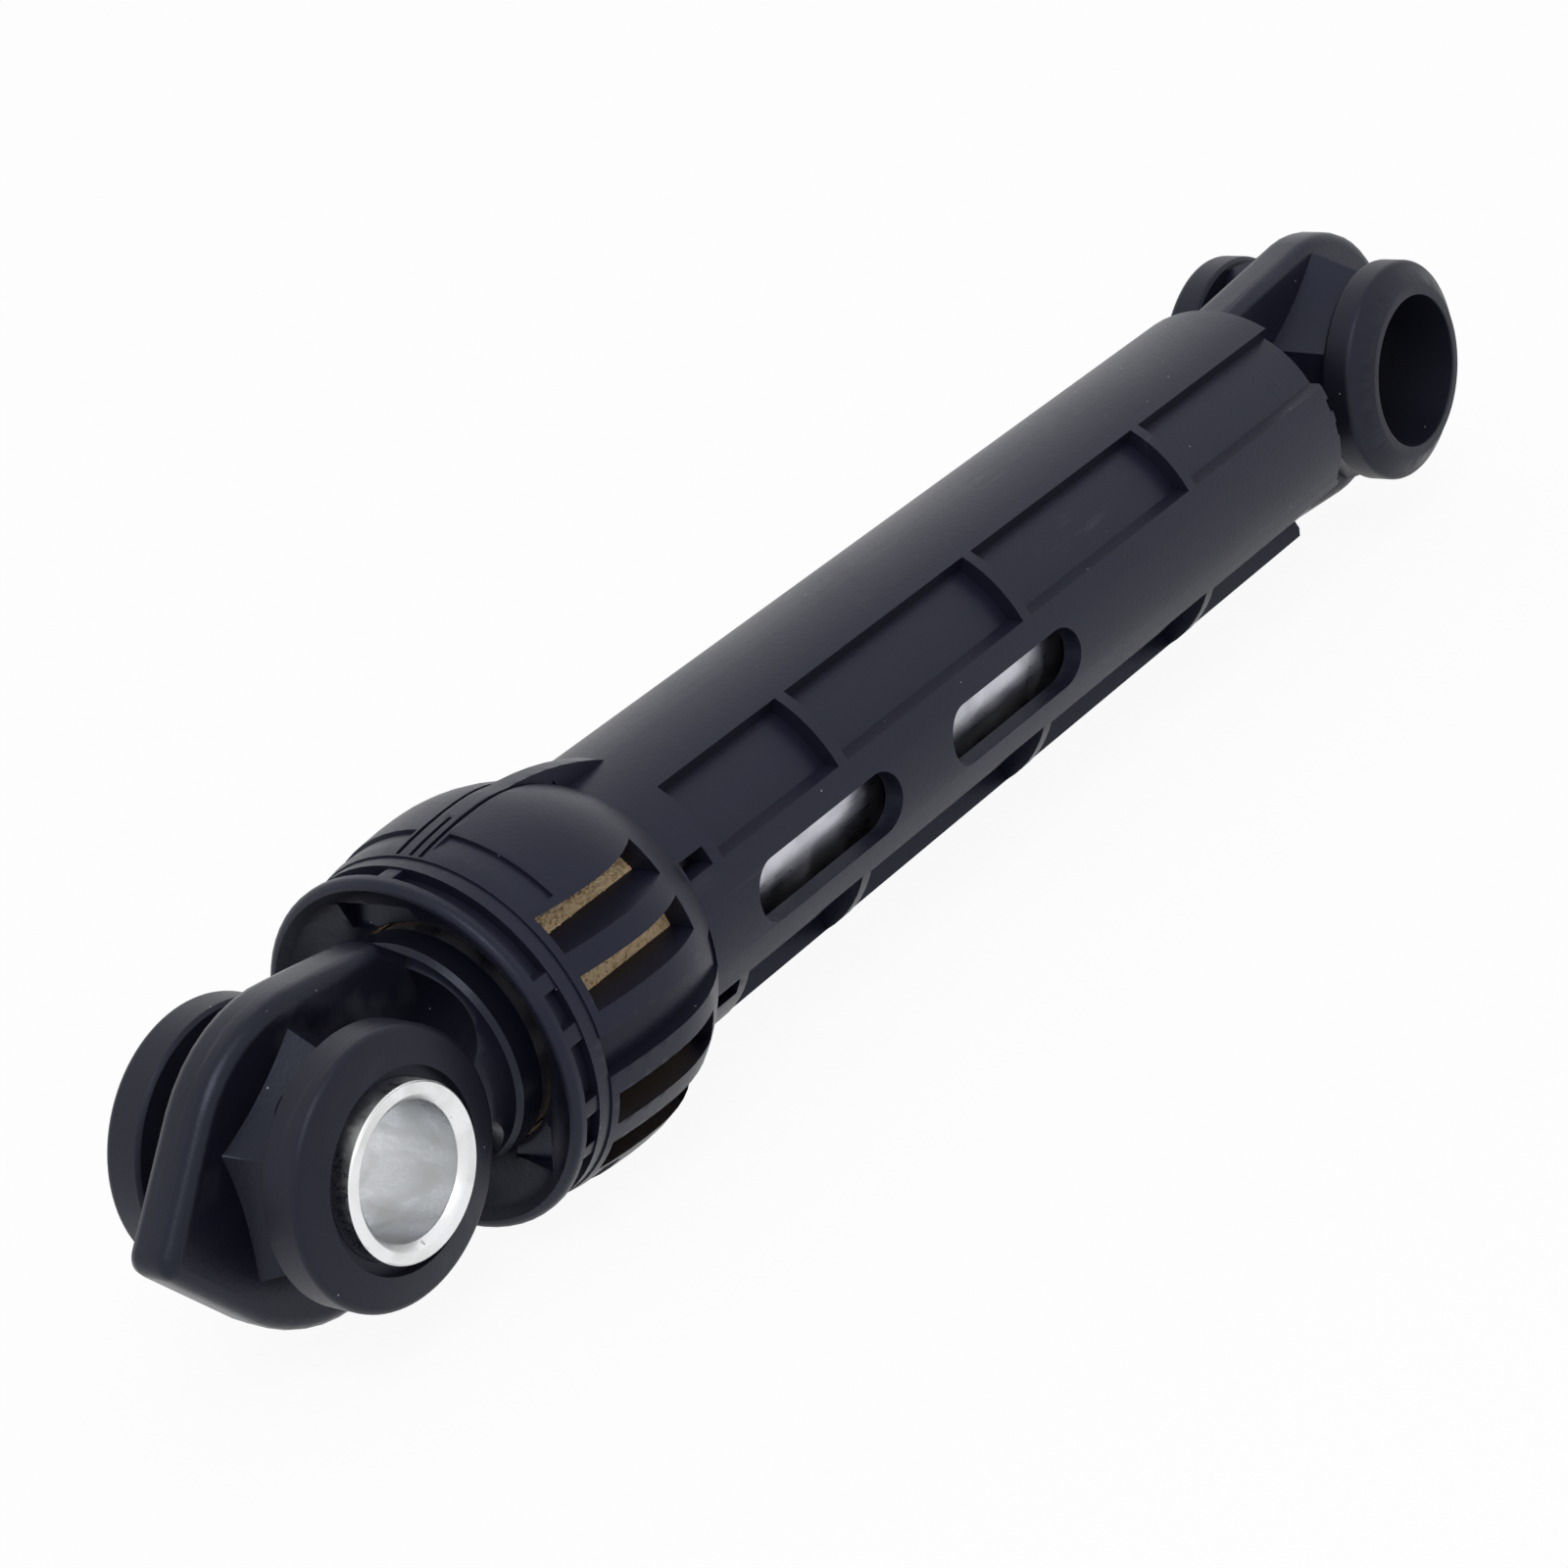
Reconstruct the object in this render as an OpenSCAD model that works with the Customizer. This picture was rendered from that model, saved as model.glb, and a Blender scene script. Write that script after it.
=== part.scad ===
// Friction damper of a washing machine drum.
// A steel rod slides in a moulded housing, and a ring of greased foam at the mouth of the
// housing brakes it. Each end has an eye with a rubber bush: the housing's bush takes a pin,
// and the rod's bush holds a steel sleeve for a bolt.
//
// The origin is the centre of the housing eye. The damper lies along +X, both eyes have
// their holes along Y, and the mould of the housing parts at the plane Y = 0.
// The rod is drawn pushed in as far as it goes.

/* [Overall] */
// Distance between the centres of the two eyes with the rod pushed in
eye_span = 146; // [138:0.5:190]
// Outer diameter of the housing tube
tube_od = 23.6; // [22:0.2:30]
// Wall of the housing tube
tube_wall = 1.7; // [1.2:0.1:2.4]
// Outer diameter of the steel rod tube
rod_od = 18; // [14:0.5:18.5]
// Travel of the rod out of the housing
stroke = 74; // [30:1:76]

/* [Housing tube] */
// Distance from the housing eye to the near end of the tube
tube_start = 15; // [14:0.5:20]
// Thickness of the closed end of the tube
end_wall = 2.5; // [1.5:0.5:4]
// Depth of the pockets in the outside of the tube
pocket_depth = 1.4; // [0.6:0.1:1.5]
// Distance from one cross rib to the next
rib_pitch = 26.7; // [20:0.1:30]
// Thickness of the cross ribs between the pockets
rib_thick = 1.2; // [0.8:0.1:3]
// Distance from the housing eye to the middle of the first cross rib
first_rib = 38.6; // [30:0.2:45]
// Height of the plain panel on each side of the tube
panel_h = 9.6; // [7:0.2:12]
// Angle of the plain band on the top and on the bottom of the tube
band_angle = 60; // [40:2:70]
// Length of a vent slot
slot_len = 19.2; // [8:0.2:22]
// Height of a vent slot
slot_h = 5.2; // [3:0.2:6.5]

/* [Housing head] */
// Length of the bulging head, from its shoulder to the front of the collar
head_len = 21.2; // [19:0.2:30]
// Largest diameter of the head
head_od = 30.4; // [29.6:0.2:36]
// Outer diameter of the collar at the mouth
collar_od = 29; // [28:0.2:36]
// Depth of the side grooves and of the steps on the head
head_step = 1.3; // [0.6:0.1:2]
// Wall of the foam chamber behind the collar
chamber_wall = 1.6; // [1.2:0.1:2]
// Thickness of the foam ring
foam_thick = 2.7; // [1.5:0.1:3.5]
// Length of the foam ring
foam_len = 15; // [8:0.5:16]

/* [Eyes] */
// Outer diameter of the flat plate round each eye
plate_od = 25.2; // [24:0.2:34]
// Thickness of the flat plate
plate_thick = 4.4; // [3:0.2:6]
// Distance from the eye to the pointed end of the rod eye's plate
plate_tip = 16; // [14:0.2:20]
// Width across the corners of the six-sided boss at the plate
boss_across = 26.4; // [24:0.2:27]
// Width across the corners of the six-sided boss at the bush
boss_top_across = 22.6; // [20:0.2:24]
// Rounding of the plate's edges
plate_round = 1.2; // [0.4:0.1:1.4]
// Hole in each eye for its bush
eye_hole = 15.6; // [14.8:0.2:17]

/* [Bushes and sleeve] */
// Outer diameter of the thick flanges of a bush
flange_od = 20.4; // [18:0.2:22]
// Bore of the housing bush
pin_bore = 14; // [8:0.2:14]
// Width of the housing bush over its flanges
housing_bush_w = 22.8; // [20:0.2:28]
// Distance across the housing eye's bosses
housing_boss_w = 14; // [10:0.2:16]
// Bore of the steel sleeve
bolt_bore = 10; // [6:0.2:10]
// Outer diameter of the steel sleeve
sleeve_od = 13; // [12:0.1:14]
// Length of the steel sleeve
sleeve_len = 21.6; // [19:0.2:26]
// Distance the sleeve stands out of the bush on each side
sleeve_proud = 1; // [0.4:0.1:2]
// Distance across the rod eye's bosses
rod_boss_w = 11.6; // [9:0.2:14]

/* [Rod] */
// Wall of the steel rod tube
rod_wall = 1; // [0.6:0.1:1.5]
// Length of the guide ring on the inner end of the rod
guide_len = 12; // [8:0.5:16]

/* [Clearances] */
// Radial gap of the guide in the housing bore, and of the guide on the rod
slide_gap = 0.05; // [0.02:0.01:0.1]
// Radial gap of the steel sleeve in its bush
bush_gap = 0.03; // [0.02:0.01:0.1]
// Gap between soft or loose pieces and what moves past them
free_gap = 0.15; // [0.1:0.05:0.3]

/* [Hidden] */
$fn = 96;

tube_r = tube_od / 2;
bore_r = tube_r - tube_wall;
floor_r = tube_r - pocket_depth;
rod_r = rod_od / 2;
rod_bore_r = rod_r - rod_wall;
head_r = head_od / 2;
collar_r = collar_od / 2;
plate_r = plate_od / 2;
flange_r = flange_od / 2;
eye_hole_r = eye_hole / 2;

// Places along X, from the front of the collar back to the tube
collar_gap = 13.1;                       // from the rod eye's centre back to the collar
collar_front = eye_span - collar_gap;
collar_w = 1;
window_w = 1.7;
ring_w = 1.3;
window_start = collar_front - collar_w - window_w;
ring_start = window_start - ring_w;
head_start = collar_front - head_len;
head_peak = head_start + 0.47 * head_len; // where the head is widest
chamber_end = ring_start - 0.4;
chamber_start = chamber_end - foam_len - 0.2;
chamber_r = rod_r + free_gap + foam_thick + 0.05;
mouth_r = rod_r + 0.4;
bore_start = tube_start + end_wall;

// Heights of the fins and slots of the head, from the middle plane up
groove_top = 1.6;
slots = [[3.4, 6.1], [7.8, 10.4]];
bridges = [[2.3, 3.6], [6.3, 7.4]];
slot_back = head_start + 4.2;
slot_front = ring_start - 0.7;

edge_r = plate_round + 0.1;                // corners of the webs

disc_w = 2.6;                            // shoulder of the rod eye, in the mouth
disc_r = rod_r + 0.3;
disc_front = collar_front + 0.1;
rod_front = disc_front - disc_w;
rod_back = bore_start + 2.5;
guide_front = rod_back + guide_len;

// Turns a profile of [radius, x] points into a body round the X axis
module about_x(x = 0, angle = 360) {
    translate([x, 0, 0]) rotate([90, 0, 90]) rotate_extrude(angle = angle) children();
}

// Turns a profile of [radius, y] points into a body round the Y axis
module about_y() {
    rotate([-90, 0, 0]) rotate_extrude() children();
}

// Draws a section in Y and Z along X, from x0 over a length
module along_x(x0, length) {
    translate([x0, 0, 0]) rotate([90, 0, 90]) linear_extrude(length) children();
}

// Draws an outline in X and Z with a width across Y, half on each side
module across_y(width) {
    rotate([90, 0, 0]) linear_extrude(width, center = true) children();
}

// Repeats a shape on both sides of the mould's parting plane
module both_sides() {
    children();
    mirror([0, 1, 0]) children();
}

// Repeats a shape above and below the middle
module top_and_bottom() {
    children();
    mirror([0, 0, 1]) children();
}

// A round bar along Y between two distances from the middle plane
module bar_y(r, y0, y1) {
    translate([0, y0, 0]) rotate([-90, 0, 0]) cylinder(h = y1 - y0, r = r);
}

// Outline of a rounded vent slot, centred
module slot_outline(length, height) {
    square([length - height, height], center = true);
    for (end = [-1, 1]) translate([end * (length - height) / 2, 0]) circle(d = height);
}

/* Pieces shared by the two eyes */

// Disc with a rounded rim, in the middle plane of the eye's plate
module rounded_disc(r) {
    flat = plate_thick / 2 - plate_round;
    faces = 48;
    // Turned by half a face, so that the ridges of the bosses meet the middles of faces
    rotate([0, 180 / faces, 0]) about_y($fn = faces) polygon(concat(
        [[0, -plate_thick / 2]],
        [for (a = [-90:30:0]) [r - plate_round + plate_round * cos(a), -flat + plate_round * sin(a)]],
        [for (a = [0:30:90]) [r - plate_round + plate_round * cos(a), flat + plate_round * sin(a)]],
        [[0, plate_thick / 2]]
    ));
}

// Six-sided boss on one side of the plate: its faces are hollowed, lean inwards to the bush
// and meet in ridges, and a cone blunts the ridges beside the bush
module eye_boss(boss_w) {
    rise = boss_w / 2 - plate_thick / 2;
    hollow_r = 30;
    apothem = function (across) across / 2 * cos(30)
        + sqrt(hollow_r ^ 2 - (across / 2 * sin(30)) ^ 2);
    near = apothem(boss_across);
    far = apothem(boss_top_across);
    translate([0, plate_thick / 2, 0]) difference() {
        about_y() polygon([
            [0, -1], [boss_across / 2, -1], [boss_across / 2, 0.55 * rise],
            [boss_top_across / 2 - 0.6, rise], [0, rise]
        ]);
        for (face = [0:60:300]) rotate([0, face, 0])
            translate([near, 0, 0]) rotate([-90, 0, atan2(near - far, rise)])
                cylinder(h = 2 * hollow_r, r = hollow_r, center = true, $fn = 180);
    }
}

// Rubber bush: a body through the eye, and on each side a thick flange with a rounded rim
// whose face slopes up to the hole over the height of the shoulder
module bush_body(width, boss_w, hole_r, shoulder) {
    seat = boss_w / 2 + 0.05;
    face = width / 2;
    rim = 0.7;
    lip_r = hole_r + 0.9;
    about_y() polygon(concat(
        [[hole_r, -face], [hole_r, face], [lip_r, face]],
        [for (a = [75:-15:0]) [flange_r - rim + rim * cos(a), face - shoulder + rim * sin(a)]],
        [[flange_r, seat + 0.3], [flange_r - 0.3, seat], [eye_hole_r - 0.05, seat]],
        [[eye_hole_r - 0.05, -seat], [flange_r - 0.3, -seat], [flange_r, -seat - 0.3]],
        [for (a = [0:-15:-75]) [flange_r - rim + rim * cos(a), -face + shoulder + rim * sin(a)]],
        [[lip_r, -face]]
    ));
}

/* Housing */

// Outside of the head: one arc bulges from the tube to the peak, and a flatter one eases down
// to the ring
module head_outline(start, peak_x, peak_r, end_r) {
    rise = peak_r - tube_r + 0.4;
    back_arc = ((peak_x - start) ^ 2 + rise ^ 2) / (2 * rise);
    front_arc = ((ring_start - peak_x) ^ 2 + (peak_r - end_r) ^ 2) / (2 * (peak_r - end_r));
    steps = 8;
    polygon(concat(
        [[0, start]],
        [for (i = [0:steps]) let (dx = (peak_x - start) * (1 - i / steps))
            [peak_r - back_arc + sqrt(back_arc ^ 2 - dx ^ 2), peak_x - dx]],
        [for (i = [1:steps / 2]) let (dx = (ring_start - peak_x) * i / (steps / 2))
            [peak_r - front_arc + sqrt(front_arc ^ 2 - dx ^ 2), peak_x + dx]],
        [[0, ring_start]]
    ));
}

// Thin ring behind the collar, the neck in the window, and the collar with its rounded rim
module mouth_rings() {
    rim = 0.6;
    collar_back = window_start + window_w;
    about_x() polygon([
        [0, ring_start], [collar_r - 0.15, ring_start], [collar_r - 0.15, window_start], [0, window_start]
    ]);
    about_x() polygon([
        [0, window_start], [chamber_r + chamber_wall, window_start],
        [chamber_r + chamber_wall, collar_back], [0, collar_back]
    ]);
    about_x() polygon(concat(
        [[0, collar_back], [collar_r, collar_back]],
        [for (a = [0:15:90]) [collar_r - rim + rim * cos(a), collar_front - rim + rim * sin(a)]],
        [[0, collar_front]]
    ));
}

// Short ribs that join the collar to the ring over the open windows
module window_ribs() {
    rib_end = collar_front - collar_w / 2;
    intersection() {
        about_x() polygon([
            [0, ring_start], [collar_r - 0.3, ring_start], [collar_r - 0.3, rib_end], [0, rib_end]
        ]);
        union() {
            both_sides() top_and_bottom() for (b = bridges)
                translate([ring_start, 6, b[0]])
                    cube([rib_end - ring_start, collar_r, b[1] - b[0]]);
            top_and_bottom() translate([ring_start, -0.7, 6])
                cube([rib_end - ring_start, 1.4, collar_r]);
        }
    }
}

// Fin on the parting plane, which rises from the tube and runs over the head to the ring
module parting_fin() {
    fin_start = head_start - 5;
    fin_w = 1.8;
    intersection() {
        about_x() head_outline(fin_start, head_peak - 1, head_r - 0.3, collar_r - 0.4);
        translate([fin_start, -fin_w / 2, -head_r]) cube([ring_start - fin_start, fin_w, head_od]);
    }
}

// Side slots that open the head to the foam, and the shallow groove along its middle
module head_cuts() {
    both_sides() {
        top_and_bottom() for (s = slots)
            translate([slot_back, 4, s[0]]) cube([slot_front - slot_back, head_r, s[1] - s[0]]);
        intersection() {
            translate([head_start + 0.8, 6, -groove_top])
                cube([ring_start - head_start - 0.8, head_r, 2 * groove_top]);
            difference() {
                about_x() head_outline(head_start, head_peak, head_r + 1, collar_r + 1);
                about_x() head_outline(head_start, head_peak, head_r - head_step, collar_r - head_step);
            }
        }
    }
}

// Section of one pocket: under the band, over the panel, outside the floor
module pocket_section() {
    low = panel_h / 2;
    lean = tan(90 - band_angle / 2);
    far = 2 * tube_od;
    difference() {
        polygon([[low / lean, low], [far, low], [far, far * lean]]);
        circle(r = floor_r);
    }
}

// Rows of pockets between the cross ribs; the first row runs out at the end of the tube
module tube_pockets() {
    rib_faces = [for (x = [first_rib:rib_pitch:head_start - 4]) x];
    starts = concat([tube_start - 1], [for (x = rib_faces) x + rib_thick / 2]);
    ends = concat([for (x = rib_faces) x - rib_thick / 2], [head_start - 3.8]);
    both_sides() top_and_bottom() for (i = [0:len(starts) - 1])
        along_x(starts[i], ends[i] - starts[i]) pocket_section();
}

// Vent slots through the side panels, one after each cross rib from the second on
module vent_slots() {
    first_slot = first_rib + rib_pitch + 4.5;
    for (x = [first_slot:rib_pitch:head_start - slot_len / 2 - 2])
        translate([x, 0, 0]) across_y(2 * tube_od) slot_outline(slot_len, slot_h);
}

// Small square holes at the end of the pockets, where the mould frees the head
module clip_holes() {
    both_sides() top_and_bottom()
        translate([head_start - 2.6, bore_r - 3, panel_h / 2 + 0.1]) cube([2.9, 8, 1.4]);
}

// Plate of the housing eye, with the web that joins it to the tube
module housing_eye() {
    web_end = [tube_start + 1, tube_r - 0.5 - edge_r];
    hull() {
        rounded_disc(plate_r);
        top_and_bottom() translate([web_end[0], 0, web_end[1]]) rounded_disc(edge_r);
    }
    both_sides() {
        eye_boss(housing_boss_w);
        translate([0, 0, -panel_h / 2]) cube([tube_start + 1, plate_thick / 2 + 2.2, panel_h]);
    }
}

module housing() {
    color("#26282c") difference() {
        union() {
            difference() {
                union() {
                    about_x() polygon([
                        [0, tube_start], [tube_r - 0.6, tube_start], [tube_r, tube_start + 0.6],
                        [tube_r, head_peak], [0, head_peak]
                    ]);
                    about_x() head_outline(head_start, head_peak, head_r, collar_r);
                }
                tube_pockets();
                clip_holes();
                head_cuts();
            }
            parting_fin();
            mouth_rings();
            window_ribs();
            housing_eye();
        }
        // Bore for the guide, chamber for the foam, and the funnel of the mouth
        about_x() polygon([
            [0, bore_start], [bore_r, bore_start], [bore_r, chamber_start], [chamber_r, chamber_start],
            [chamber_r, chamber_end], [mouth_r, chamber_end], [mouth_r, chamber_end + 1],
            [mouth_r + 1, window_start], [collar_r - 2, collar_front - 1.8],
            [collar_r - 0.7, collar_front + 0.1], [0, collar_front + 0.1]
        ]);
        vent_slots();
        bar_y(eye_hole_r, -plate_od, plate_od);
    }
}

// Strip of foam bent to a ring, with its butt joint at the bottom
module friction_lining() {
    foam_r = rod_r + free_gap;
    color("#c9b28c") difference() {
        about_x() polygon([
            [foam_r, chamber_start + 0.1], [foam_r + foam_thick, chamber_start + 0.1],
            [foam_r + foam_thick, chamber_start + 0.1 + foam_len], [foam_r, chamber_start + 0.1 + foam_len]
        ]);
        translate([chamber_start, -0.4, -2 * chamber_r]) cube([foam_len + 1, 0.8, 2 * chamber_r]);
    }
}

module housing_bush() {
    color("#1d1e20") bush_body(housing_bush_w, housing_boss_w, pin_bore / 2, 1.9);
}

/* Rod */

// Split guide ring that sits on the inner end of the rod and slides in the bore
module rod_guide() {
    ring_r = bore_r - slide_gap;
    seat_r = rod_r + slide_gap;
    cap = 1.6;
    color("#d9dadb") about_x() polygon([
        [rod_bore_r - 1, rod_back - cap], [ring_r - 0.4, rod_back - cap], [ring_r, rod_back - cap + 0.4],
        [ring_r, guide_front - 0.4], [ring_r - 0.2, guide_front], [seat_r, guide_front],
        [seat_r, rod_back - slide_gap], [rod_bore_r - 1, rod_back - slide_gap]
    ]);
}

module rod_tube() {
    color("#b9bdc1") about_x() polygon([
        [rod_bore_r, rod_back], [rod_r - 0.3, rod_back], [rod_r, rod_back + 0.3],
        [rod_r, rod_front], [rod_bore_r, rod_front]
    ]);
}

// Plate of the rod eye: a round with a blunt point away from the housing, and a web to the neck
module rod_plate() {
    nose = 1.6;
    neck = [disc_front - eye_span + 3, disc_r + 1.9 - edge_r];
    root = [disc_front - eye_span - 1 + edge_r, disc_r - 0.5 - edge_r];
    hull() {
        rounded_disc(plate_r);
        translate([plate_tip - nose, 0, 0]) rounded_disc(nose);
        top_and_bottom() for (corner = [neck, root])
            translate([corner[0], 0, corner[1]]) rounded_disc(edge_r);
    }
}

// Neck between the shoulder in the mouth and the eye, hollowed on both sides of the web
module rod_neck() {
    back = disc_front - eye_span;
    cup_r = 5.2;
    neck_len = 4.6;
    difference() {
        about_x(eye_span) polygon([
            [0, back - 0.6], [disc_r - 0.4, back - 0.6], [disc_r - 0.4, back],
            [disc_r - 1.2, back + neck_len], [0, back + neck_len]
        ]);
        both_sides() top_and_bottom() translate([eye_span + back + 0.5 + cup_r, 0, cup_r + 1.2])
            bar_y(cup_r, plate_thick / 2, 2 * disc_r);
    }
}

module rod_eye() {
    color("#232427") difference() {
        union() {
            translate([eye_span, 0, 0]) {
                rod_plate();
                both_sides() eye_boss(rod_boss_w);
            }
            rod_neck();
            // Shoulder disc, and the spigot that is pressed into the rod tube
            about_x() polygon([
                [0, rod_front], [disc_r, rod_front], [disc_r, disc_front - 0.5], [disc_r - 0.5, disc_front],
                [0, disc_front]
            ]);
            about_x() polygon([
                [0, rod_front - 14], [rod_bore_r - 0.6, rod_front - 14], [rod_bore_r, rod_front - 13],
                [rod_bore_r, rod_front], [0, rod_front]
            ]);
        }
        translate([eye_span, 0, 0]) {
            bar_y(eye_hole_r, -plate_od, plate_od);
            // Room round the flanges of the bush
            both_sides() bar_y(flange_r + 2 * free_gap, rod_boss_w / 2, plate_od);
        }
    }
}

module rod_bush() {
    width = sleeve_len - 2 * sleeve_proud;
    recess = 0.9;
    color("#1d1e20") translate([eye_span, 0, 0]) difference() {
        bush_body(width, rod_boss_w, sleeve_od / 2 + bush_gap, 1.2);
        // Dark groove round the sleeve on each face
        both_sides() bar_y(sleeve_od / 2 + 0.9, width / 2 - recess, width);
    }
}

module rod_sleeve() {
    chamfer = 0.6;
    half = sleeve_len / 2;
    inner = bolt_bore / 2;
    outer = sleeve_od / 2;
    color("#d4d8da") translate([eye_span, 0, 0]) about_y() polygon([
        [inner, -half + chamfer], [inner, half - chamfer], [inner + chamfer, half], [outer - 0.15, half],
        [outer, half - 0.15], [outer, -half + 0.15], [outer - 0.15, -half], [inner + chamfer, -half]
    ]);
}

housing();
friction_lining();
housing_bush();
rod_guide();
rod_tube();
rod_eye();
rod_bush();
rod_sleeve();
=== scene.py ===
# %% [markdown]
# # Friction damper of a washing machine
# The part is a black moulded tube with a slotted head, a steel rod that slides in it, and
# a rubber bush in the eye at each end. Its construction is already made at real size and
# comes in as a fixed frame. This lesson gives each piece its finish: rounded edges, moulded
# plastic, rubber, open foam and two kinds of steel.

# %% Load the frame
import math

import bmesh
import bpy
from mathutils import Matrix, Vector


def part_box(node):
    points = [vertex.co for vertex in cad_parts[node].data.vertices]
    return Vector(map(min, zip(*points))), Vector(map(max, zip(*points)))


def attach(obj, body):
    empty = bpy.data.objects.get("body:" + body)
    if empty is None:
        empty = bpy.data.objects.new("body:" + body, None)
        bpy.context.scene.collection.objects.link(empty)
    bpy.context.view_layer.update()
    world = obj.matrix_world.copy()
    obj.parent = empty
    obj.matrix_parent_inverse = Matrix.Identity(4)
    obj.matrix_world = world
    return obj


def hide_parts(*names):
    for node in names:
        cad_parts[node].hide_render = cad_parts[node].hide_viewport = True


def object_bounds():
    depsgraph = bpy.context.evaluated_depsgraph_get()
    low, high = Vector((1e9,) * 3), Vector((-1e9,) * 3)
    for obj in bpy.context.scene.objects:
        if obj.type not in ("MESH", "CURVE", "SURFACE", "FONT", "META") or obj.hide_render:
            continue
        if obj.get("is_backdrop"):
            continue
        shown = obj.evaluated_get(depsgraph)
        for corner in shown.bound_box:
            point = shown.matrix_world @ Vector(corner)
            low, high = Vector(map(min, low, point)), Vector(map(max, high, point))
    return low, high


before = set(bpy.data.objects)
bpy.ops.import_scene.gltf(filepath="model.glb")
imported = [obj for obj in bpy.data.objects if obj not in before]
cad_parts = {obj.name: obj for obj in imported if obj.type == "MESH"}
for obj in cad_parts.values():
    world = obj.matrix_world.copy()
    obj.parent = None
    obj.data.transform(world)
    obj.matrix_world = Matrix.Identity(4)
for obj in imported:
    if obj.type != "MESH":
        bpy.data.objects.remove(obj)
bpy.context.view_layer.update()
MM = 0.001
print("pieces in the frame:", ", ".join(sorted(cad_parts)))

# %% [markdown]
# The camera stands where the photograph was taken from. It was found by fitting the
# outlines of both eyes, the collar and the tube. The long lens keeps the tube's sides
# nearly parallel, and the camera leans a little to one side.

# %% Camera
CAMERA_PLACE = Vector((0.31588, 0.19982, 0.13569))
LOOK_POINT = Vector((0.08058, -0.0056, -0.00451))
CAMERA_ROLL = math.radians(-12.818)
LENS_MM = 95.365
SENSOR_MM = 36


def aimed(place, target, roll):
    """World matrix of an object at place whose -Z axis points at target."""
    back = (place - target).normalized()
    side = Vector((0, 0, 1)).cross(back).normalized()
    up = back.cross(side)
    turned_side = side * math.cos(roll) + up * math.sin(roll)
    turned_up = back.cross(turned_side)
    columns = Matrix((turned_side, turned_up, back)).transposed().to_4x4()
    return Matrix.Translation(place) @ columns


lens = bpy.data.cameras.new("camera")
lens.sensor_fit = "HORIZONTAL"
lens.sensor_width = SENSOR_MM
lens.lens = LENS_MM
lens.clip_start = 0.01
lens.clip_end = 50
camera = bpy.data.objects.new("camera", lens)
bpy.context.scene.collection.objects.link(camera)
camera.matrix_world = aimed(CAMERA_PLACE, LOOK_POINT, CAMERA_ROLL)
bpy.context.scene.camera = camera
print("camera at", [round(v, 3) for v in CAMERA_PLACE])

# %% [markdown]
# Materials are small trees of nodes. A short helper makes a node, sets its unlinked inputs
# and joins the others, so that each material below reads like a list of what it is made of.

# %% Helper for node trees
def add_node(tree, kind, inputs=None, **settings):
    """Makes a node, applies its settings and fills its inputs with values or links."""
    made = tree.nodes.new(kind)
    for key, value in settings.items():
        setattr(made, key, value)
    for key, value in (inputs or {}).items():
        if isinstance(value, bpy.types.NodeSocket):
            tree.links.new(value, made.inputs[key])
        else:
            made.inputs[key].default_value = value
    return made


def new_group(name, kind, inputs, outputs):
    """Makes an empty node group with named sockets and returns it with its two end nodes."""
    group = bpy.data.node_groups.new(name, kind)
    for label, socket_type, value in inputs:
        socket = group.interface.new_socket(label, in_out="INPUT", socket_type=socket_type)
        if value is not None:
            socket.default_value = value
    for label, socket_type in outputs:
        group.interface.new_socket(label, in_out="OUTPUT", socket_type=socket_type)
    return group, group.nodes.new("NodeGroupInput"), group.nodes.new("NodeGroupOutput")


FLOAT = "NodeSocketFloat"
VECTOR = "NodeSocketVector"

# %% [markdown]
# Every moulded or rubber surface here shows the same two effects at different strengths: a
# fine skin that breaks up the shine, and small marks from handling, which are pale specks
# and short rubs. Each effect is one node group with named inputs. Both read Object
# coordinates, so they stay in place when the damper moves.

# %% Group: fine skin
def build_skin_group():
    group, given, result = new_group(
        "fine_skin",
        "ShaderNodeTree",
        [("Vector", VECTOR, None), ("Grain Scale", FLOAT, 3000.0), ("Roughness", FLOAT, 0.4),
         ("Roughness Spread", FLOAT, 0.1), ("Flow Scale", FLOAT, 90.0)],
        [("Roughness", FLOAT), ("Height", FLOAT), ("Flow", FLOAT)],
    )
    grain = add_node(group, "ShaderNodeTexNoise",
                     {"Vector": given.outputs["Vector"], "Scale": given.outputs["Grain Scale"],
                      "Detail": 3.0})
    flow = add_node(group, "ShaderNodeTexNoise",
                    {"Vector": given.outputs["Vector"], "Scale": given.outputs["Flow Scale"],
                     "Detail": 4.0, "Distortion": 0.6})
    both = add_node(group, "ShaderNodeMath", {0: grain.outputs["Fac"], 1: flow.outputs["Fac"]},
                    operation="ADD")
    centred = add_node(group, "ShaderNodeMath", {0: both.outputs[0], 1: 1.0}, operation="SUBTRACT")
    rough = add_node(group, "ShaderNodeMath",
                     {0: centred.outputs[0], 1: given.outputs["Roughness Spread"],
                      2: given.outputs["Roughness"]},
                     operation="MULTIPLY_ADD")
    group.links.new(rough.outputs[0], result.inputs["Roughness"])
    group.links.new(grain.outputs["Fac"], result.inputs["Height"])
    group.links.new(flow.outputs["Fac"], result.inputs["Flow"])
    return group


skin_group = build_skin_group()
print("node group:", skin_group.name)

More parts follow.
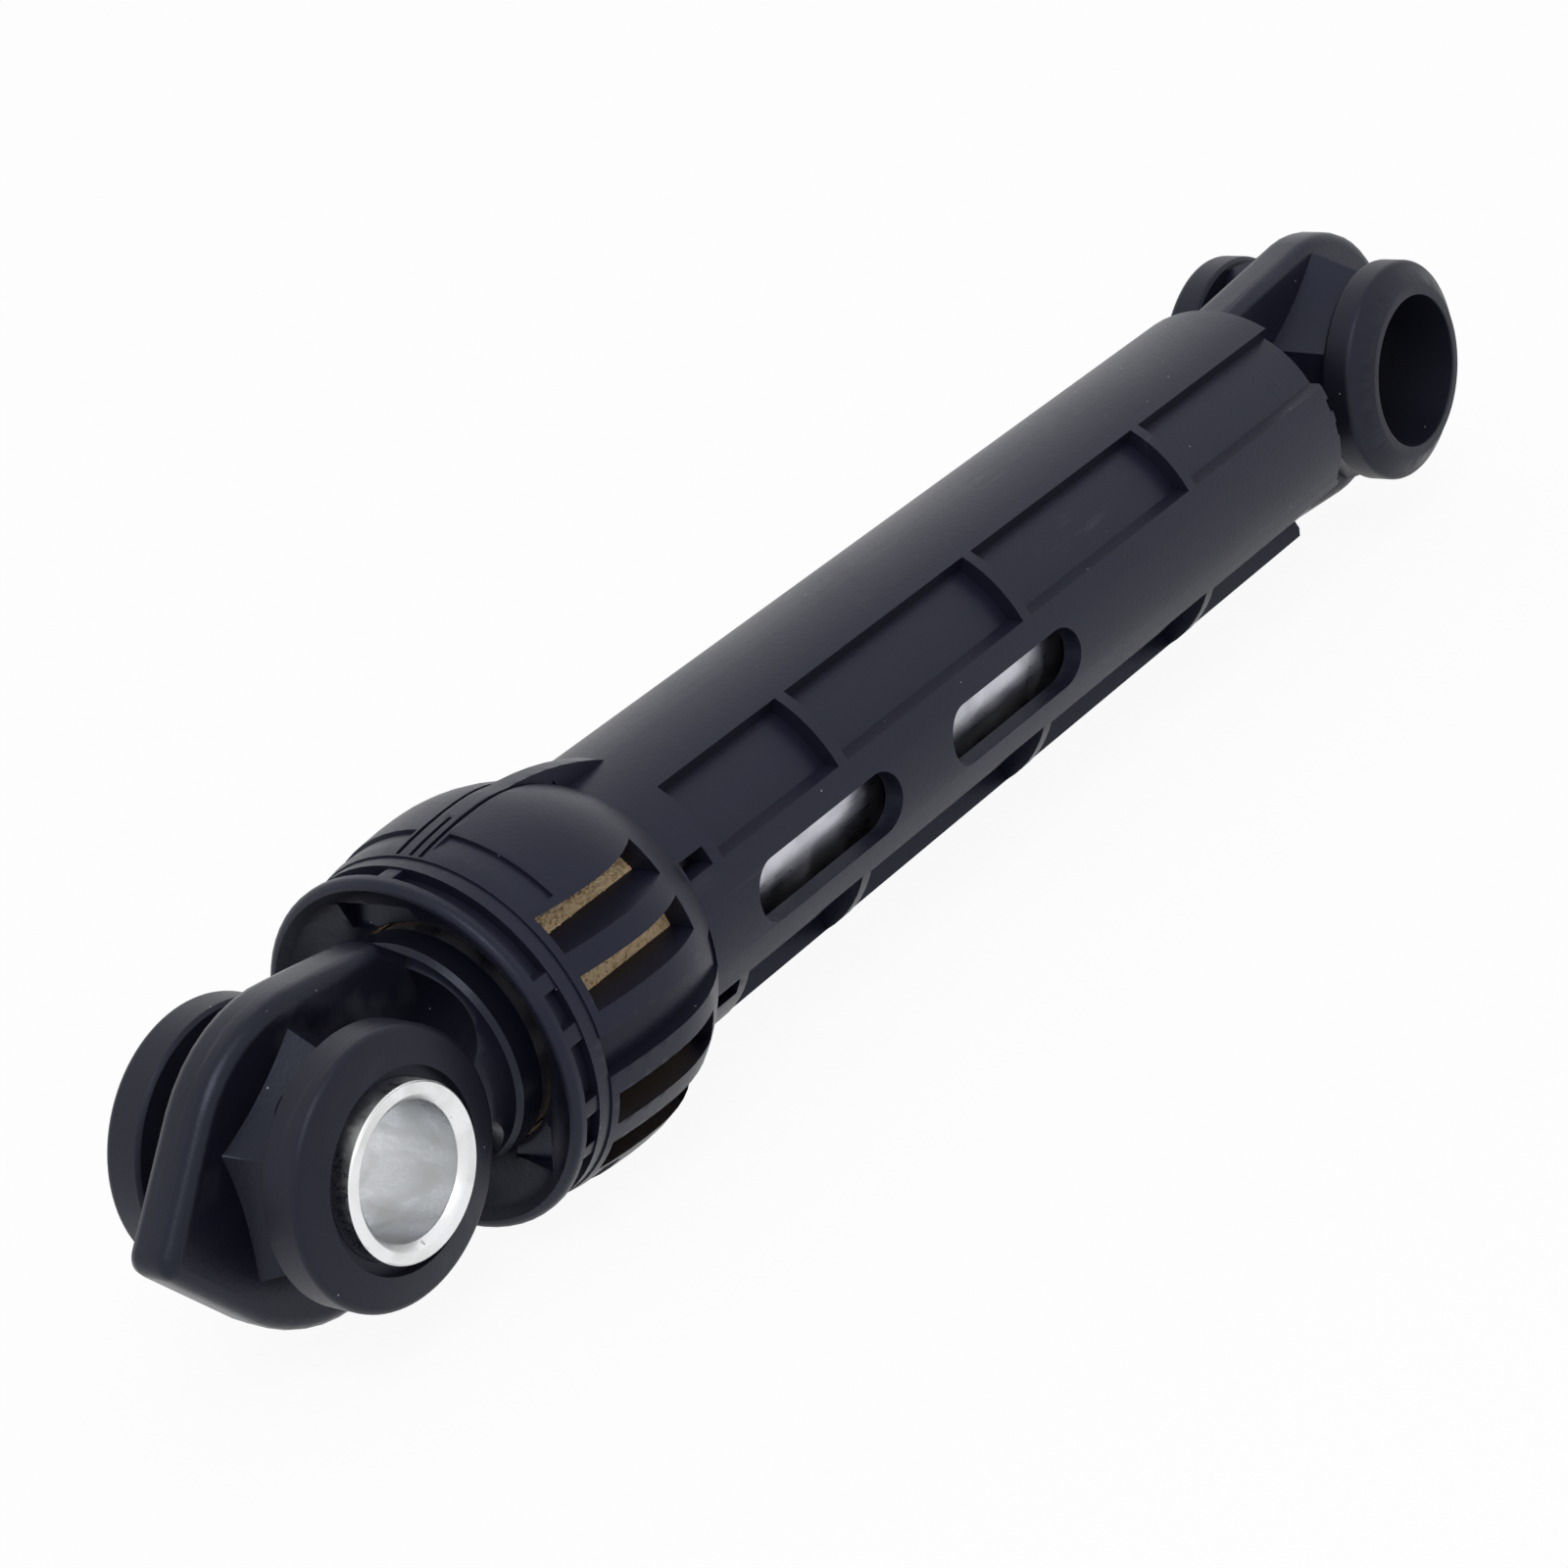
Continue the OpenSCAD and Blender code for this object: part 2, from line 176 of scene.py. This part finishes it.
# %% Group: specks and rubs
def build_marks_group():
    group, given, result = new_group(
        "specks_and_rubs",
        "ShaderNodeTree",
        [("Vector", VECTOR, None), ("Speck Scale", FLOAT, 460.0), ("Speck Size", FLOAT, 0.08),
         ("Rub Scale", FLOAT, 60.0), ("Rub Amount", FLOAT, 0.3)],
        [("Specks", FLOAT), ("Rubs", FLOAT)],
    )
    cells = add_node(group, "ShaderNodeTexVoronoi",
                     {"Vector": given.outputs["Vector"], "Scale": given.outputs["Speck Scale"]})
    near = add_node(group, "ShaderNodeMath",
                    {0: cells.outputs["Distance"], 1: given.outputs["Speck Size"]}, operation="LESS_THAN")
    chosen = add_node(group, "ShaderNodeSeparateColor", {"Color": cells.outputs["Color"]})
    rare = add_node(group, "ShaderNodeMath", {0: chosen.outputs[0], 1: 0.4}, operation="GREATER_THAN")
    specks = add_node(group, "ShaderNodeMath", {0: near.outputs[0], 1: rare.outputs[0]},
                      operation="MULTIPLY")
    stretched = add_node(group, "ShaderNodeMapping",
                         {"Vector": given.outputs["Vector"], "Rotation": (0.3, 0.5, 0.9),
                          "Scale": (1.0, 12.0, 1.0)})
    streaks = add_node(group, "ShaderNodeTexNoise",
                       {"Vector": stretched.outputs[0], "Scale": given.outputs["Rub Scale"], "Detail": 5.0})
    patches = add_node(group, "ShaderNodeTexNoise",
                       {"Vector": given.outputs["Vector"], "Scale": given.outputs["Rub Scale"],
                        "Detail": 1.0})
    streak_mask = add_node(group, "ShaderNodeMapRange",
                           {"Value": streaks.outputs["Fac"], "From Min": 0.6, "From Max": 0.75})
    patch_mask = add_node(group, "ShaderNodeMapRange",
                          {"Value": patches.outputs["Fac"], "From Min": 0.5, "From Max": 0.7})
    rubs = add_node(group, "ShaderNodeMath",
                    {0: streak_mask.outputs[0], 1: patch_mask.outputs[0]}, operation="MULTIPLY")
    scaled = add_node(group, "ShaderNodeMath",
                      {0: rubs.outputs[0], 1: given.outputs["Rub Amount"]}, operation="MULTIPLY")
    group.links.new(specks.outputs[0], result.inputs["Specks"])
    group.links.new(scaled.outputs[0], result.inputs["Rubs"])
    return group


marks_group = build_marks_group()
print("node group:", marks_group.name)

# %% [markdown]
# Plastic and rubber differ in colour, shine and grain, and not in how the material is built,
# so one function makes both. The colours are plain numbers, and the marks only tint them.

# %% Materials: moulded plastic and rubber
def blank_material(name):
    """A material with only an output and a Principled shader in it."""
    material = bpy.data.materials.new(name)
    material.use_nodes = True
    tree = material.node_tree
    tree.nodes.clear()
    output = tree.nodes.new("ShaderNodeOutputMaterial")
    shader = tree.nodes.new("ShaderNodeBsdfPrincipled")
    tree.links.new(shader.outputs[0], output.inputs["Surface"])
    return material, tree, shader


def moulded_material(name, dark, light, roughness, spread, grain_scale, grain_depth, specular, rubs,
                     speck_size):
    """Black plastic or rubber: flowing tone, fine grain, pale specks and short rubs."""
    material, tree, shader = blank_material(name)
    place = add_node(tree, "ShaderNodeTexCoord").outputs["Object"]
    skin = add_node(tree, "ShaderNodeGroup", node_tree=skin_group)
    marks = add_node(tree, "ShaderNodeGroup", node_tree=marks_group)
    for group_node in (skin, marks):
        tree.links.new(place, group_node.inputs["Vector"])
    skin.inputs["Grain Scale"].default_value = grain_scale
    skin.inputs["Roughness"].default_value = roughness
    skin.inputs["Roughness Spread"].default_value = spread
    marks.inputs["Rub Amount"].default_value = rubs
    marks.inputs["Speck Size"].default_value = speck_size
    tone = add_node(tree, "ShaderNodeMix",
                    {"Factor": skin.outputs["Flow"], "A": (*dark, 1), "B": (*light, 1)}, data_type="RGBA")
    rubbed = add_node(tree, "ShaderNodeMix",
                      {"Factor": marks.outputs["Rubs"], "A": tone.outputs["Result"],
                       "B": (0.16, 0.16, 0.17, 1)},
                      data_type="RGBA")
    dusty = add_node(tree, "ShaderNodeMix",
                     {"Factor": marks.outputs["Specks"], "A": rubbed.outputs["Result"],
                      "B": (0.35, 0.35, 0.37, 1)},
                     data_type="RGBA")
    rough = add_node(tree, "ShaderNodeMath",
                     {0: marks.outputs["Rubs"], 1: 0.3, 2: skin.outputs["Roughness"]},
                     operation="MULTIPLY_ADD")
    bump = add_node(tree, "ShaderNodeBump",
                    {"Height": skin.outputs["Height"], "Strength": 0.35, "Distance": grain_depth})
    tree.links.new(dusty.outputs["Result"], shader.inputs["Base Color"])
    tree.links.new(rough.outputs[0], shader.inputs["Roughness"])
    tree.links.new(bump.outputs[0], shader.inputs["Normal"])
    shader.inputs["Specular IOR Level"].default_value = specular
    return material


housing_plastic = moulded_material("housing_plastic", (0.0070, 0.0078, 0.0170), (0.0115, 0.0124, 0.0240),
                                   0.38, 0.12, 2600, 0.00005, 0.28, 0.35, 0.034)
eye_plastic = moulded_material("eye_plastic", (0.0048, 0.0054, 0.0110), (0.0085, 0.0092, 0.0170),
                               0.31, 0.12, 2600, 0.00004, 0.32, 0.45, 0.034)
bush_rubber = moulded_material("bush_rubber", (0.0075, 0.0080, 0.0140), (0.0120, 0.0126, 0.0205),
                               0.43, 0.10, 4200, 0.00004, 0.28, 0.2, 0.03)
for cool_black in (housing_plastic, eye_plastic, bush_rubber):
    cool_black.node_tree.nodes["Principled BSDF"].inputs["Specular Tint"].default_value = (0.74, 0.79,
                                                                                           1.0, 1)
guide_plastic = moulded_material("guide_plastic", (0.62, 0.62, 0.60), (0.72, 0.72, 0.70),
                                 0.45, 0.08, 2600, 0.00004, 0.5, 0.1, 0.02)
print("moulded materials:", 4)

# %% [markdown]
# The rod is drawn steel tube, polished lengthways, so its marks run along X. The sleeve is
# turned and zinc plated: bright, faintly blue, with cloudy grey patches in its bore. Both are
# metals, whose look comes from roughness and a little colour drift.

# %% Materials: drawn rod and plated sleeve
def steel_material(name, clean, cloudy, line_scale, cloud_scale, roughness):
    """Metal with fine lines across line_scale, clouded patches and a few dark pits."""
    material, tree, shader = blank_material(name)
    place = add_node(tree, "ShaderNodeTexCoord").outputs["Object"]
    stretched = add_node(tree, "ShaderNodeMapping", {"Vector": place, "Scale": line_scale})
    lines = add_node(tree, "ShaderNodeTexNoise",
                     {"Vector": stretched.outputs[0], "Scale": 1.0, "Detail": 4.0})
    clouds = add_node(tree, "ShaderNodeTexNoise",
                      {"Vector": place, "Scale": cloud_scale, "Detail": 6.0, "Distortion": 0.8})
    cloud_mask = add_node(tree, "ShaderNodeMapRange",
                          {"Value": clouds.outputs["Fac"], "From Min": 0.42, "From Max": 0.68})
    pits = add_node(tree, "ShaderNodeTexNoise", {"Vector": place, "Scale": cloud_scale * 4, "Detail": 2.0})
    pit_mask = add_node(tree, "ShaderNodeMapRange",
                        {"Value": pits.outputs["Fac"], "From Min": 0.74, "From Max": 0.80})
    tone = add_node(tree, "ShaderNodeMix",
                    {"Factor": cloud_mask.outputs[0], "A": (*clean, 1), "B": (*cloudy, 1)},
                    data_type="RGBA")
    pitted = add_node(tree, "ShaderNodeMix",
                      {"Factor": pit_mask.outputs[0], "A": tone.outputs["Result"],
                       "B": (0.16, 0.16, 0.15, 1)},
                      data_type="RGBA")
    base = add_node(tree, "ShaderNodeMath",
                    {0: lines.outputs["Fac"], 1: 0.22, 2: roughness - 0.11}, operation="MULTIPLY_ADD")
    rough = add_node(tree, "ShaderNodeMath",
                     {0: cloud_mask.outputs[0], 1: 0.18, 2: base.outputs[0]}, operation="MULTIPLY_ADD")
    bump = add_node(tree, "ShaderNodeBump", {"Height": lines.outputs["Fac"], "Strength": 0.25,
                                             "Distance": 0.00002})
    tree.links.new(pitted.outputs["Result"], shader.inputs["Base Color"])
    tree.links.new(rough.outputs[0], shader.inputs["Roughness"])
    tree.links.new(bump.outputs[0], shader.inputs["Normal"])
    shader.inputs["Metallic"].default_value = 1.0
    return material


rod_steel = steel_material("rod_steel", (0.60, 0.61, 0.66), (0.54, 0.55, 0.60), (60, 9000, 9000), 300, 0.30)
sleeve_zinc = steel_material("sleeve_zinc", (0.84, 0.85, 0.87), (0.74, 0.75, 0.74), (2500, 900, 2500),
                             260, 0.27)
print("metals: rod_steel, sleeve_zinc")

# %% [markdown]
# The brake ring is a strip of tan open-cell foam. Its colour drifts from sandy to brown where
# grease soaks it. The cells are too small to model, so a cell pattern makes their shadows,
# and crumbs modelled further down break up the strip's smooth face.

# %% Material: greased foam
def foam_material():
    material, tree, shader = blank_material("lining_foam")
    place = add_node(tree, "ShaderNodeTexCoord").outputs["Object"]
    cells = add_node(tree, "ShaderNodeTexVoronoi", {"Vector": place, "Scale": 2600.0})
    drift = add_node(tree, "ShaderNodeTexNoise", {"Vector": place, "Scale": 500.0, "Detail": 5.0})
    tone = add_node(tree, "ShaderNodeMix",
                    {"Factor": drift.outputs["Fac"], "A": (0.66, 0.46, 0.24, 1),
                     "B": (0.86, 0.68, 0.44, 1)},
                    data_type="RGBA")
    hollow = add_node(tree, "ShaderNodeMapRange",
                      {"Value": cells.outputs["Distance"], "From Min": 0.15, "From Max": 0.5,
                       "To Min": 0.25, "To Max": 0.0})
    shaded = add_node(tree, "ShaderNodeMix",
                      {"Factor": hollow.outputs[0], "A": tone.outputs["Result"],
                       "B": (0.20, 0.12, 0.055, 1)},
                      data_type="RGBA")
    bump = add_node(tree, "ShaderNodeBump", {"Height": cells.outputs["Distance"], "Strength": 0.8,
                                             "Distance": 0.0003})
    dull = add_node(tree, "ShaderNodeMapRange",
                    {"Value": drift.outputs["Fac"], "To Min": 0.75, "To Max": 0.95})
    tree.links.new(shaded.outputs["Result"], shader.inputs["Base Color"])
    tree.links.new(dull.outputs[0], shader.inputs["Roughness"])
    tree.links.new(bump.outputs[0], shader.inputs["Normal"])
    return material


lining_foam = foam_material()

# %% [markdown]
# The frame's pieces are loose flat triangles. A copy whose doubled corners are merged can be
# shaded smooth where the real surface is round, and its sharp corners can be eased by a
# narrow bevel, as a mould or a lathe leaves them. The copy then stands for the frame's piece.

# %% Helper: finished copy of a piece
SAME_POINT = 0.000002
FLAT_ANGLE = math.radians(0.5)


def finished_copy(node, material, edge=0.0, edge_angle=38, smooth_angle=32, cut=None):
    """Smooth, bevelled copy of a frame piece, still without its body."""
    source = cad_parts[node]
    piece = bpy.data.objects.new(node + "_finish", source.data.copy())
    bpy.context.scene.collection.objects.link(piece)
    piece.data.materials.clear()
    piece.data.materials.append(material)
    weld = piece.modifiers.new("weld", "WELD")
    weld.merge_threshold = SAME_POINT
    if cut:
        carve = piece.modifiers.new("carve", "BOOLEAN")
        carve.operation = "DIFFERENCE"
        carve.solver = "EXACT"
        carve.use_self = True  # some of the carving's shapes meet
        carve.object = cut
    flatten = piece.modifiers.new("flatten", "DECIMATE")
    flatten.decimate_type = "DISSOLVE"
    flatten.angle_limit = FLAT_ANGLE
    if edge:
        bevel = piece.modifiers.new("edges", "BEVEL")
        bevel.width = edge
        bevel.segments = 2
        bevel.limit_method = "ANGLE"
        bevel.angle_limit = math.radians(edge_angle)
        bevel.use_clamp_overlap = True
        bevel.harden_normals = False
    settle(piece)
    if cut:
        bpy.data.objects.remove(cut)
    piece.data.polygons.foreach_set("use_smooth", [True] * len(piece.data.polygons))
    piece.data.set_sharp_from_angle(angle=math.radians(smooth_angle))
    even_shading = piece.modifiers.new("even_shading", "WEIGHTED_NORMAL")
    even_shading.keep_sharp = True
    settle(piece)
    if not piece.data.polygons:
        raise ValueError(f"{piece.name} came out empty")
    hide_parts(node)
    print(piece.name, len(piece.data.polygons), "faces")
    return piece


def settle(piece):
    """Applies a piece's modifiers, so that only a plain mesh is left."""
    evaluated = piece.evaluated_get(bpy.context.evaluated_depsgraph_get())
    settled = bpy.data.meshes.new_from_object(evaluated)
    piece.modifiers.clear()
    piece.data = settled


# %% [markdown]
# A few small forms of the housing are finer than its construction: the double rib on the
# parting line, the step behind the ring, notches in the mouth and the uneven end of each
# side panel. They are carved here with simple closed shapes, each drawn as a strip of
# four-cornered sections along a line, and taken away from the copy with a Boolean.

# %% Shapes that carve the housing
def strip_shapes(name, shapes):
    """One object of closed strips; each shape is a list of sections of four points in mm."""
    corners, faces = [], []
    for sections in shapes:
        start = len(corners)
        corners += [tuple(v * MM for v in point) for section in sections for point in section]
        last = start + 4 * (len(sections) - 1)
        faces += [tuple(range(start, start + 4)), tuple(range(last, last + 4))]
        for i in range(start, last, 4):
            faces += [(i + k, i + (k + 1) % 4, i + 4 + (k + 1) % 4, i + 4 + k) for k in range(4)]
    mesh = bpy.data.meshes.new(name)
    mesh.from_pydata(corners, [], faces)
    shell = bmesh.new()
    shell.from_mesh(mesh)
    bmesh.ops.recalc_face_normals(shell, faces=shell.faces)
    shell.to_mesh(mesh)
    shell.free()
    made = bpy.data.objects.new(name, mesh)
    bpy.context.scene.collection.objects.link(made)
    return made


def block(low, high):
    """A box as two sections across X."""
    return [[(x, low[1], low[2]), (x, high[1], low[2]), (x, high[1], high[2]), (x, low[1], high[2])]
            for x in (low[0], high[0])]


def arc_band(x0, x1, r0, r1, angle0, angle1, steps=12):
    """Part of a ring round the X axis, between two angles from +Y towards +Z."""
    sections = []
    for i in range(steps + 1):
        angle = math.radians(angle0 + (angle1 - angle0) * i / steps)
        y, z = math.cos(angle), math.sin(angle)
        sections.append([(x0, r0 * y, r0 * z), (x1, r0 * y, r0 * z), (x1, r1 * y, r1 * z),
                         (x0, r1 * y, r1 * z)])
    return sections


# Places along X and radii of the head, in mm
HEAD_START, HEAD_PEAK, RING_START = 111.7, 121.66, 128.9
TUBE_RADIUS, PEAK_RADIUS, RING_RADIUS = 11.8, 15.2, 14.5


def head_radius(x):
    """Outside radius of the head: one arc up to the peak and a flatter one down to the ring."""
    reach, rise = HEAD_PEAK - HEAD_START, PEAK_RADIUS - TUBE_RADIUS + 0.4
    if x > HEAD_PEAK:
        reach, rise = RING_START - HEAD_PEAK, PEAK_RADIUS - RING_RADIUS
    arc = (reach ** 2 + rise ** 2) / (2 * rise)
    return PEAK_RADIUS - arc + math.sqrt(arc ** 2 - (x - HEAD_PEAK) ** 2)


def groove(y0, y1, side, start, depth=0.3, steps=14):
    """Groove along the head beside a rib of the parting line; side is 1 on top, -1 below."""
    sections = []
    for i in range(steps + 1):
        x = start + (RING_START - 0.2 - start) * i / steps
        floor, open_air = side * (head_radius(x) - depth), side * (head_radius(x) + 1)
        sections.append([(x, y0, floor), (x, y1, floor), (x, y1, open_air), (x, y0, open_air)])
    return sections


RIB_STARTS = {(-1.3, -0.9): 113.4, (0.9, 1.3): 113.4, (0.0, 0.35): 123.8}
grooves = [groove(y0, y1, side, start) for side in (1, -1) for (y0, y1), start in RIB_STARTS.items()]
STEP_X, STEP_DEPTH = 125.7, 0.3
steps_cut = [arc_band(STEP_X, RING_START, head_radius(STEP_X) - STEP_DEPTH, PEAK_RADIUS + 1, a, a + 37)
             for a in (47, 96, 227, 276)]
notches = [block((129.6, -6, 8.6), (132, 0.5, 11.2)), block((129.9, 4.2, -9.2), (131.8, 8.6, -6))]
PANEL_END, SCALLOP = 15, 1.0
scallops = [arc_band(PANEL_END - 1, PANEL_END + depth, TUBE_RADIUS - 1.1, TUBE_RADIUS + 1, turn + a,
                     turn + a + 6, 3)
            for turn in (0, 180) for a, depth in ((-21, SCALLOP), (-10, 0.5), (1, 0.8), (12, SCALLOP))]
carving = strip_shapes("housing_carving", grooves + steps_cut + notches + scallops)
print("carved shapes:", len(grooves + steps_cut + notches + scallops))

# %% [markdown]
# The housing is one moulding, with ribs about a millimetre thick, so its edges are eased by
# only a tenth of a millimetre. The two eyes have thicker plates and take a little more.

# %% Rigid and rubber pieces
housing = finished_copy("housing", housing_plastic, edge=0.14 * MM, cut=carving)
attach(housing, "housing")
housing_bush = finished_copy("housing_bush", bush_rubber, edge=0.3 * MM)
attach(housing_bush, "housing")
rod_guide = finished_copy("rod_guide", guide_plastic, edge=0.1 * MM)
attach(rod_guide, "guide")
rod_tube = finished_copy("rod_tube", rod_steel, edge=0.1 * MM)
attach(rod_tube, "rod")
rod_eye = finished_copy("rod_eye", eye_plastic, edge=0.22 * MM)
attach(rod_eye, "rod")
rod_bush = finished_copy("rod_bush", bush_rubber, edge=0.2 * MM)
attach(rod_bush, "rod")
rod_sleeve = finished_copy("rod_sleeve", sleeve_zinc, edge=0.12 * MM)
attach(rod_sleeve, "sleeve")

# %% [markdown]
# The foam strip has a torn, crumbly face. Geometry Nodes scatter small crumbs over its
# surface, each a low ball of random size and turn, because thousands of small repeats are
# what they do well. The crumbs are made real and take the foam's material.

# %% Foam ring with crumbs
def crumb_tree(material):
    group, given, result = new_group(
        "foam_crumbs",
        "GeometryNodeTree",
        [("Geometry", "NodeSocketGeometry", None), ("Crumbs per Square Metre", FLOAT, 3.0e6),
         ("Smallest", FLOAT, 0.1 * MM), ("Largest", FLOAT, 0.3 * MM), ("Seed", "NodeSocketInt", 5),
         ("Beyond Radius", FLOAT, 10 * MM)],
        [("Geometry", "NodeSocketGeometry")],
    )
    place = group.nodes.new("GeometryNodeInputPosition")
    across = add_node(group, "ShaderNodeVectorMath", {0: place.outputs[0], 1: (0.0, 1.0, 1.0)},
                      operation="MULTIPLY")
    radius = add_node(group, "ShaderNodeVectorMath", {0: across.outputs[0]}, operation="LENGTH")
    outside = add_node(group, "ShaderNodeMath",
                       {0: radius.outputs["Value"], 1: given.outputs["Beyond Radius"]},
                       operation="GREATER_THAN")
    points = add_node(group, "GeometryNodeDistributePointsOnFaces",
                      {"Mesh": given.outputs["Geometry"],
                       "Density": given.outputs["Crumbs per Square Metre"],
                       "Seed": given.outputs["Seed"], "Selection": outside.outputs[0]})
    ball = add_node(group, "GeometryNodeMeshIcoSphere", {"Radius": 1.0, "Subdivisions": 1})
    size = add_node(group, "FunctionNodeRandomValue",
                    {"Min": given.outputs["Smallest"], "Max": given.outputs["Largest"],
                     "Seed": given.outputs["Seed"]}, data_type="FLOAT")
    turn = add_node(group, "FunctionNodeRandomValue", data_type="FLOAT_VECTOR")
    turn.inputs["Max"].default_value = (6.28, 6.28, 6.28)
    placed = add_node(group, "GeometryNodeInstanceOnPoints",
                      {"Points": points.outputs["Points"], "Instance": ball.outputs["Mesh"]})
    group.links.new(turn.outputs["Value"], placed.inputs["Rotation"])
    group.links.new(size.outputs[1], placed.inputs["Scale"])
    both = group.nodes.new("GeometryNodeJoinGeometry")
    group.links.new(placed.outputs[0], both.inputs[0])
    group.links.new(given.outputs["Geometry"], both.inputs[0])
    solid = add_node(group, "GeometryNodeRealizeInstances", {"Geometry": both.outputs[0]})
    painted = add_node(group, "GeometryNodeSetMaterial",
                       {"Geometry": solid.outputs[0], "Material": material})
    group.links.new(painted.outputs[0], result.inputs["Geometry"])
    return group


foam_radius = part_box("friction_lining")[1].y
CRUMB_SIZES = {"Crumbs per Square Metre": 4.0e6, "Smallest": 0.06 * MM, "Largest": 0.2 * MM, "Seed": 5,
               "Beyond Radius": foam_radius - 0.1 * MM}
lining = finished_copy("friction_lining", lining_foam)
crumbs = lining.modifiers.new("crumbs", "NODES")
crumbs.node_group = crumb_tree(lining_foam)
for item in crumbs.node_group.interface.items_tree:
    if item.in_out == "INPUT" and item.name in CRUMB_SIZES:
        crumbs[item.identifier] = CRUMB_SIZES[item.name]
settle(lining)
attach(lining, "housing")
print("foam faces:", len(lining.data.polygons))

# %% [markdown]
# The damper lies on a plain white floor under soft light. The floor glows white to the
# camera and in reflections, and mixes in enough of its own shading to keep the shadow.

# %% Floor
FLOOR_REACH = 6.0
lowest = min(corner[2] for corner in (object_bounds()[0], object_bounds()[1]))
floor_mesh = bpy.data.meshes.new("floor")
floor_mesh.from_pydata(
    [(x * FLOOR_REACH, y * FLOOR_REACH, lowest) for x, y in ((-1, -1), (1, -1), (1, 1), (-1, 1))],
    [], [(0, 1, 2, 3)])
floor = bpy.data.objects.new("floor", floor_mesh)
bpy.context.scene.collection.objects.link(floor)

floor_paint = bpy.data.materials.new("floor_paint")
floor_paint.use_nodes = True
paint = floor_paint.node_tree
paint.nodes.clear()
seen = paint.nodes.new("ShaderNodeLightPath")
seen_or_mirrored = add_node(paint, "ShaderNodeMath",
                            {0: seen.outputs["Is Camera Ray"], 1: seen.outputs["Is Glossy Ray"]},
                            operation="MAXIMUM")
any_sight = add_node(paint, "ShaderNodeMath",
                     {0: seen_or_mirrored.outputs[0], 1: seen.outputs["Is Transmission Ray"]},
                     operation="MAXIMUM")
share = add_node(paint, "ShaderNodeMath", {0: any_sight.outputs[0], 1: 0.93}, operation="MULTIPLY")
matt = add_node(paint, "ShaderNodeBsdfDiffuse", {"Color": (0.90, 0.90, 0.91, 1)})
glow = add_node(paint, "ShaderNodeEmission", {"Color": (1, 1, 1, 1), "Strength": 1.0})
mixed = add_node(paint, "ShaderNodeMixShader", {0: share.outputs[0], 1: matt.outputs[0],
                                                2: glow.outputs[0]})
surface = add_node(paint, "ShaderNodeOutputMaterial", {"Surface": mixed.outputs[0]})
floor_mesh.materials.append(floor_paint)
floor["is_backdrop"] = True

# %% [markdown]
# A pale world gives even light from all round, and two large soft lamps shape the tube: one
# high behind it draws the long pale band on its top, and a weaker one fills from the camera's
# side.

# %% World and lamps
world = bpy.data.worlds.new("studio")
world.use_nodes = True
sky = world.node_tree
sky.nodes.clear()
sky_path = sky.nodes.new("ShaderNodeLightPath")
soft = add_node(sky, "ShaderNodeBackground", {"Color": (1, 1, 1, 1), "Strength": 0.62})
white = add_node(sky, "ShaderNodeBackground", {"Color": (1, 1, 1, 1), "Strength": 1.0})
sky_seen = add_node(sky, "ShaderNodeMath",
                    {0: sky_path.outputs["Is Camera Ray"], 1: sky_path.outputs["Is Glossy Ray"]},
                    operation="MAXIMUM")
sky_sight = add_node(sky, "ShaderNodeMath",
                     {0: sky_seen.outputs[0], 1: sky_path.outputs["Is Transmission Ray"]},
                     operation="MAXIMUM")
chosen_sky = add_node(sky, "ShaderNodeMixShader",
                      {0: sky_sight.outputs[0], 1: soft.outputs[0], 2: white.outputs[0]})
add_node(sky, "ShaderNodeOutputWorld", {"Surface": chosen_sky.outputs[0]})
bpy.context.scene.world = world


def soft_lamp(name, place, target, size, watts):
    """Square area lamp that points at target."""
    data = bpy.data.lights.new(name, "AREA")
    data.shape = "SQUARE"
    data.size = size
    data.energy = watts
    lamp = bpy.data.objects.new(name, data)
    bpy.context.scene.collection.objects.link(lamp)
    lamp.matrix_world = aimed(Vector(place), Vector(target), 0)
    return lamp


MIDDLE = (0.075, 0, 0)
soft_lamp("lamp_back", (-0.75, -0.65, 0.75), MIDDLE, 0.9, 0.5)
soft_lamp("lamp_fill", (0.7, 0.5, 1.1), MIDDLE, 0.7, 6)
bpy.context.scene.view_settings.view_transform = "Standard"
